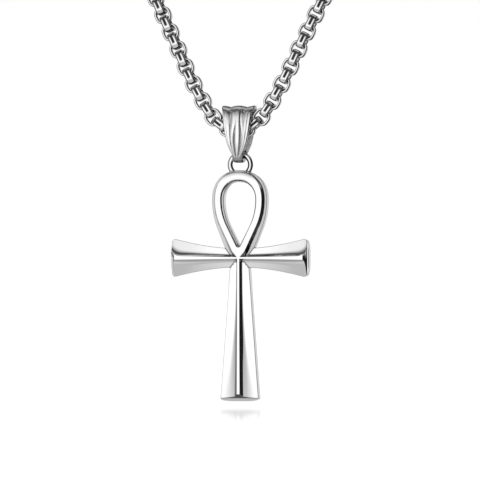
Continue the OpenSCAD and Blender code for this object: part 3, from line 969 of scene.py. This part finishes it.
def calculated(tree, operation, *values, **settings):
    """The result of a Math node from numbers or sockets."""
    return node(tree, "ShaderNodeMath", dict(enumerate(values)), operation=operation, **settings).outputs[0]


def blended(tree, factor, first, second):
    """The colour between those of two sockets, by a factor."""
    made = node(tree, "ShaderNodeMix", {"Factor": factor}, data_type="RGBA")
    colours = [slot for slot in made.inputs if slot.type == "RGBA"]
    tree.links.new(first, colours[0])
    tree.links.new(second, colours[1])
    return next(slot for slot in made.outputs if slot.type == "RGBA")


def new_group(name, inputs, outputs):
    """A node group with its sockets, and the sockets of its inlet. An input has a kind and a default."""
    group = bpy.data.node_groups.new(name, "ShaderNodeTree")
    for key, (kind, default) in inputs.items():
        group.interface.new_socket(name=key, in_out="INPUT", socket_type=kind).default_value = default
    for key, kind in outputs.items():
        group.interface.new_socket(name=key, in_out="OUTPUT", socket_type=kind)
    return group, node(group, "NodeGroupInput").outputs


def noise(group, place, scale, detail):
    """Noise by place, about a middle of 0.5."""
    inputs = {"Vector": place, "Scale": scale, "Detail": detail}
    return node(group, "ShaderNodeTexNoise", inputs).outputs["Fac"]


def polish_group():
    """Marks of polishing: a roughness that clouds over the surface, and fine scratches as a height."""
    group, given = new_group(
        "polish marks", {"Roughness": (NUMBER, 0.08), "Clouding": (NUMBER, 0.03), "Scale": (NUMBER, 300)},
        {"Roughness": NUMBER, "Height": NUMBER})
    place = node(group, "ShaderNodeTexCoord").outputs["Object"]
    cloud = calculated(group, "SUBTRACT", noise(group, place, given["Scale"], 3), 0.5)
    stretch = {"Vector": place, "Rotation": (0.4, 0.3, 0.6), "Scale": (6, 6, 60)}
    stretched = node(group, "ShaderNodeMapping", stretch).outputs["Vector"]
    node(group, "NodeGroupOutput", {
        "Roughness": calculated(group, "MULTIPLY_ADD", cloud, given["Clouding"], given["Roughness"]),
        "Height": noise(group, stretched, given["Scale"], 2),
    })
    return group


# The painted shade's strength is the mask times noise times the first of these, plus the second.
SHADE_BREAKS = (0.2, 0.9)


def painted_shade_group():
    """Painted shade in the recesses: the piece's own mask, broken up by noise, between the metal's colour and
    a dark one.
    """
    group, given = new_group(
        "painted shade", {"Metal": (COLOUR, (0.9, 0.9, 0.9, 1)), "Shade colour": (COLOUR, (0.03, 0.03, 0.03, 1)),
                    "Shade mask": (NUMBER, 0), "Scale": (NUMBER, 2500)},
        {"Colour": COLOUR})
    place = node(group, "ShaderNodeTexCoord").outputs["Object"]
    broken = calculated(group, "MULTIPLY_ADD", noise(group, place, given["Scale"], 2), *SHADE_BREAKS)
    amount = calculated(group, "MULTIPLY", given["Shade mask"], broken, use_clamp=True)
    node(group, "NodeGroupOutput", {"Colour": blended(group, amount, given["Metal"], given["Shade colour"])})
    return group


def group_node(tree, name, build, inputs):
    """The outputs of a node of the group of that name, which is built only once."""
    group = bpy.data.node_groups.get(name) or build()
    return node(tree, "ShaderNodeGroup", inputs, node_tree=group).outputs


# Roughness that a matt place adds, and the height of the polishing marks in metres.
MATT_ROUGHNESS = 0.45
MARK_HEIGHT = 0.00002


def steel(name, duller, clouding, scale, marks, paints_shade=True):
    """Polished steel that clouds a little and carries faint polishing marks.

    Two attributes of the piece shape it: "matt" adds roughness, and the other says where shade is painted
    into the base colour.
    """
    finishes = bpy.context.scene.finish_colours
    colour = (*finishes.steel, 1)
    material = bpy.data.materials.new(name)
    material.use_nodes = True
    tree = material.node_tree
    shader = tree.nodes["Principled BSDF"].inputs
    shader["Base Color"].default_value = colour
    shader["Metallic"].default_value = 1
    inputs = {"Roughness": finishes.roughness + duller, "Clouding": clouding, "Scale": scale}
    polish = group_node(tree, "polish marks", polish_group, inputs)
    matt = node(tree, "ShaderNodeAttribute", attribute_name="matt").outputs["Fac"]
    roughness = calculated(tree, "MULTIPLY_ADD", matt, MATT_ROUGHNESS, polish["Roughness"])
    tree.links.new(roughness, shader["Roughness"])
    bump = {"Strength": marks, "Distance": MARK_HEIGHT, "Height": polish["Height"]}
    tree.links.new(node(tree, "ShaderNodeBump", bump).outputs["Normal"], shader["Normal"])
    # Painted shade: the base colour darkens towards a dark colour where the piece's mask says.
    if paints_shade:
        painted_shade_mask = node(tree, "ShaderNodeAttribute", attribute_name="painted_shade_mask").outputs["Fac"]
        shade_paint = group_node(tree, "painted shade", painted_shade_group, {"Metal": colour, "Shade mask": painted_shade_mask})
        tree.links.new(shade_paint["Colour"], shader["Base Color"])
    return material


def finish(obj, material, body, *nodes):
    """Gives a piece its material, slot and body, and the nodes that it stands for."""
    obj.data.materials.clear()
    obj.data.materials.append(material)
    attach(obj, body)
    if nodes:
        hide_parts(*nodes)


# Studio

# Brightness round the level circle, by degrees from the front of the studio towards its right.
AROUND = (
    (-180, 0.62), (-168, 0.62), (-163, 1.0), (-149, 1.0), (-146, 0.3), (-110, 0.15), (-68, 0.15),
    (-52, 0.4), (-37, 0.5), (-28, 0.62), (-21, 0.78), (-15, 0.98), (0, 1.0), (15, 0.98), (21, 0.74),
    (28, 0.54), (36, 0.47), (46, 0.44), (50, 0.05), (54, 0.01), (150, 0.01), (156, 0.45), (164, 0.62),
    (180, 0.62),
)
# Brightness round the upright circle, by degrees from the front upwards.
OVER = (
    (-180, 0.62), (-168, 0.5), (-160, 0.08), (-108, 0.06), (-100, 0.3), (-72, 0.35), (-64, 0.54),
    (-48, 0.54), (-38, 0.45), (-17, 0.46), (-12, 0.6), (-8, 0.78), (-4, 0.97), (0, 1.0), (11, 1.0),
    (15, 0.83), (22, 0.8), (28, 0.72), (32, 0.6), (36, 0.5), (42, 0.4), (48, 0.3), (53, 0.2), (57, 0.05),
    (82, 0.08), (90, 0.8), (108, 0.8), (112, 0.2), (134, 0.04), (160, 0.04), (168, 0.5), (180, 0.62),
)
# Power of the directions that weighs the two circles, what keeps their sum above 0, and the light's strength.
CIRCLE_POWER = 4
LEAST_SUM = 0.000001
SKY_STRENGTH = 1.07


def by_angle(tree, side, front, table):
    """Brightness from a table over the angle from the front towards a side."""
    turn = calculated(tree, "ARCTAN2", side, front)
    made = node(tree, "ShaderNodeValToRGB", {
        "Fac": calculated(tree, "MULTIPLY_ADD", turn, 1 / (2 * math.pi), 0.5)})
    stops = made.color_ramp.elements
    while len(stops) < len(table):
        stops.new(0.5)
    for stop, (degrees, bright) in zip(stops, table):
        stop.position = (degrees + 180) / 360
        stop.color = (bright, bright, bright, 1)
    return made.outputs["Color"]


def sky():
    """A bright tent with dark strips: white to the camera, and by direction to all other rays.

    The two circles' brightness is mixed by the upward part of the direction over the sum of that and the part
    to the right, each to a power.
    """
    world = bpy.data.worlds.new("studio")
    bpy.context.scene.world = world
    world.use_nodes = True
    tree = world.node_tree
    tree.nodes.clear()
    direction = node(tree, "ShaderNodeTexCoord").outputs["Generated"]
    turn = {"Vector": direction, "Rotation": (0, 0, bpy.context.scene.studio_sizes.camera_azimuth)}
    turned = node(tree, "ShaderNodeMapping", turn, vector_type="POINT").outputs["Vector"]
    x, y, z = node(tree, "ShaderNodeSeparateXYZ", {0: turned}).outputs
    front = calculated(tree, "MULTIPLY", y, -1)
    around, over = [by_angle(tree, side, front, table) for side, table in ((x, AROUND), (z, OVER))]
    across, up = [calculated(tree, "POWER", calculated(tree, "ABSOLUTE", side), CIRCLE_POWER)
                  for side in (x, z)]
    total = calculated(tree, "ADD", calculated(tree, "ADD", across, up), LEAST_SUM)
    light = blended(tree, calculated(tree, "DIVIDE", up, total), around, over)
    lit = node(tree, "ShaderNodeBackground", {"Color": light, "Strength": SKY_STRENGTH}).outputs[0]
    seen = node(tree, "ShaderNodeBackground", {"Color": (1, 1, 1, 1)}).outputs[0]
    to_camera = node(tree, "ShaderNodeLightPath").outputs["Is Camera Ray"]
    chosen = node(tree, "ShaderNodeMixShader", {0: to_camera, 1: lit, 2: seen}).outputs[0]
    node(tree, "ShaderNodeOutputWorld", {"Surface": chosen})


# The floor's own light, its gloss's roughness and share by the foot, and the distances from the foot, in
# metres, between which the gloss fades.
FLOOR_LIGHT = 1.16
GLOSS_ROUGHNESS = 0.06
GLOSS_SHARE = 0.5
GLOSS_FADE = (0.02, 0.15)


def floor_finish():
    """A pale, evenly lit floor with a faint gloss round the foot."""
    foot = crossing()
    material = bpy.data.materials.new("pale floor")
    material.use_nodes = True
    tree = material.node_tree
    tree.nodes.clear()
    colour = (*bpy.context.scene.finish_colours.floor, 1)
    pale = node(tree, "ShaderNodeEmission", {"Color": colour, "Strength": FLOOR_LIGHT}).outputs[0]
    gloss = node(tree, "ShaderNodeBsdfGlossy", {"Roughness": GLOSS_ROUGHNESS}).outputs[0]
    place = node(tree, "ShaderNodeTexCoord").outputs["Object"]
    split = node(tree, "ShaderNodeSeparateXYZ", {0: place}).outputs
    level = node(tree, "ShaderNodeCombineXYZ", {"X": split["X"], "Y": split["Y"]}).outputs[0]
    away = node(tree, "ShaderNodeVectorMath", {0: level, 1: (foot[0], foot[1], 0)}, operation="DISTANCE")
    fade = {"Value": away.outputs["Value"], "From Min": GLOSS_FADE[0], "From Max": GLOSS_FADE[1],
            "To Min": GLOSS_SHARE, "To Max": 0}
    share = node(tree, "ShaderNodeMapRange", fade, interpolation_type="SMOOTHSTEP").outputs[0]
    both = node(tree, "ShaderNodeMixShader", {0: share, 1: pale, 2: gloss}).outputs[0]
    node(tree, "ShaderNodeOutputMaterial", {"Surface": both})
    return material


# Half the floor's width in metres, the camera's sensor in mm, and its near and far limit in metres.
FLOOR_REACH = 3
SENSOR = 36
NEAR_LIMIT = 0.01
FAR_LIMIT = 20


class NECKLACE_OT_studio(bpy.types.Operator):
    """Adds the floor, the surroundings that the metal reflects and the camera"""
    bl_idname = "necklace.studio"
    bl_label = "Studio"

    def execute(self, context):
        scene = context.scene
        sizes = scene.studio_sizes
        centre = crossing()
        scene.view_settings.view_transform = "Standard"
        scene.view_settings.look = "None"
        low = centre[2] - scene.ankh_sizes.shaft_length - sizes.floor_drop
        corners = ((-1, -1), (1, -1), (1, 1), (-1, 1))
        points = np.array([[x * FLOOR_REACH, y * FLOOR_REACH, low] for x, y in corners])
        floor = new_object("floor", points, [(0, 1, 2, 3)])
        floor.data.materials.append(floor_finish())
        floor.visible_glossy = False
        floor.visible_diffuse = False
        floor.visible_shadow = False
        sky()
        camera = bpy.data.objects.new("camera", bpy.data.cameras.new("camera"))
        scene.collection.objects.link(camera)
        scene.camera = camera
        turn = sizes.camera_azimuth
        aim = centre + np.array([-sizes.view_shift, 0, sizes.view_rise])
        camera.location = aim + sizes.camera_distance * np.array([math.sin(turn), -math.cos(turn), 0])
        camera.rotation_euler = (math.pi / 2, 0, turn)
        camera.data.sensor_width = SENSOR
        camera.data.lens = SENSOR * sizes.camera_distance / sizes.view_width
        camera.data.clip_start = NEAR_LIMIT
        camera.data.clip_end = FAR_LIMIT
        return {"FINISHED"}


class NECKLACE_OT_ankh(bpy.types.Operator):
    """Builds the ankh with its ridged arms and shaft, its loop and its soldered eye ring"""
    bl_idname = "necklace.ankh"
    bl_label = "Ankh"

    def execute(self, context):
        obj = united("ankh_polished", [arm_solid(), shaft_solid(), loop_solid(), ring_solid()])
        placed(obj, MM, crossing())
        shaded(obj)
        finish(obj, steel("ankh steel", duller=0, clouding=0.04, scale=260, marks=0.02), "ankh", "ankh")
        return {"FINISHED"}


# How far the bail lies from the middle of its CAD box, in metres.
BAIL_SHIFT = np.array([-0.00018, 0, 0.00013])


class NECKLACE_OT_bail(bpy.types.Operator):
    """Builds the fluted bail"""
    bl_idname = "necklace.bail"
    bl_label = "Bail"

    def execute(self, context):
        obj = joined("bail_fluted", [leaf_solid(), strap_solid()])
        low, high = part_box("bail")
        placed(obj, 1, (np.array(low) + np.array(high)) / 2 + BAIL_SHIFT)
        shaded(obj, 50)
        metal = steel("bail steel", duller=0.02, clouding=0.04, scale=400, marks=0.03)
        finish(obj, metal, "bail", "bail")
        return {"FINISHED"}


class NECKLACE_OT_chain(bpy.types.Operator):
    """Builds the whole chain as linked rings, finer near the bail"""
    bl_idname = "necklace.chain"
    bl_label = "Chain"

    def execute(self, context):
        sizes = context.scene.chain_sizes
        clasp = context.scene.clasp_sizes
        eye_centre = Route().half - clasp.length / 2 - clasp.eye / 2 + clasp.eye_wire
        last = eye_centre - (sizes.width - sizes.wire) / 2
        near = np.arange(-sizes.near_links, sizes.near_links + 1)
        first = sizes.near_links * sizes.pitch
        count = 2 * round((last - first) / sizes.pitch / 2)
        right = sizes.near_links + np.arange(1, count + 1)
        places = np.linspace(first, last, count + 1)[1:]
        metal = steel("chain steel", duller=0, clouding=0.04, scale=500, marks=0.01)
        fine = links("chain_near", near, near * sizes.pitch, 40, 2 * len(SECTION) - 2, 1)
        shaded(fine, 60)
        finish(fine, metal, "chain", "chain_front")
        numbers, places = np.concatenate([right, right]), np.concatenate([-places, places])
        coarse = links("chain_far", numbers, places, 12, 6, 0.4)
        shaded(coarse, 60)
        finish(coarse, metal, "chain", "chain_back")
        return {"FINISHED"}


class NECKLACE_OT_clasp(bpy.types.Operator):
    """Builds the clasp at the nape, with a soldered eye for the chain at each end"""
    bl_idname = "necklace.clasp"
    bl_label = "Clasp"

    def execute(self, context):
        sizes = context.scene.clasp_sizes
        reach = np.array([sizes.length / 2 + sizes.eye / 2 - sizes.eye_wire, 0, 0])
        ends = [eye("eye", sizes.eye, sizes.eye_wire, ROUTE[-1] + side * reach, 48, 16) for side in (-1, 1)]
        obj = joined("clasp_body", [clasp_solid(), *ends])
        shaded(obj, 50)
        metal = steel("clasp steel", duller=0.04, clouding=0.05, scale=400, marks=0.05, paints_shade=False)
        finish(obj, metal, "chain", "clasp")
        return {"FINISHED"}


class NECKLACE_PT_panel(bpy.types.Panel):
    bl_label = "Ankh pendant necklace"
    bl_space_type = "VIEW_3D"
    bl_region_type = "UI"
    bl_category = "Necklace"

    def draw(self, context):
        for operator in OPERATORS:
            self.layout.operator(operator.bl_idname)
        for name in GROUPS:
            box = self.layout.box()
            group = getattr(context.scene, name)
            for key in group.bl_rna.properties.keys():
                if key not in ("rna_type", "name"):
                    box.prop(group, key)


OPERATORS = (NECKLACE_OT_studio, NECKLACE_OT_ankh, NECKLACE_OT_bail, NECKLACE_OT_chain, NECKLACE_OT_clasp)
GROUPS = {
    "ankh_sizes": AnkhSizes, "bail_sizes": BailSizes, "chain_sizes": ChainSizes, "clasp_sizes": ClaspSizes,
    "finish_colours": FinishColours, "studio_sizes": StudioSizes,
}


def register():
    for name, group in GROUPS.items():
        bpy.utils.register_class(group)
        setattr(bpy.types.Scene, name, PointerProperty(type=group))
    for operator in OPERATORS:
        bpy.utils.register_class(operator)
    bpy.utils.register_class(NECKLACE_PT_panel)


def unregister():
    bpy.utils.unregister_class(NECKLACE_PT_panel)
    for operator in reversed(OPERATORS):
        bpy.utils.unregister_class(operator)
    for name, group in reversed(GROUPS.items()):
        delattr(bpy.types.Scene, name)
        bpy.utils.unregister_class(group)


def main():
    register()
    bpy.ops.necklace.studio()
    bpy.ops.necklace.ankh()
    bpy.ops.necklace.bail()
    bpy.ops.necklace.chain()
    bpy.ops.necklace.clasp()


if __name__ == "__main__":
    main()
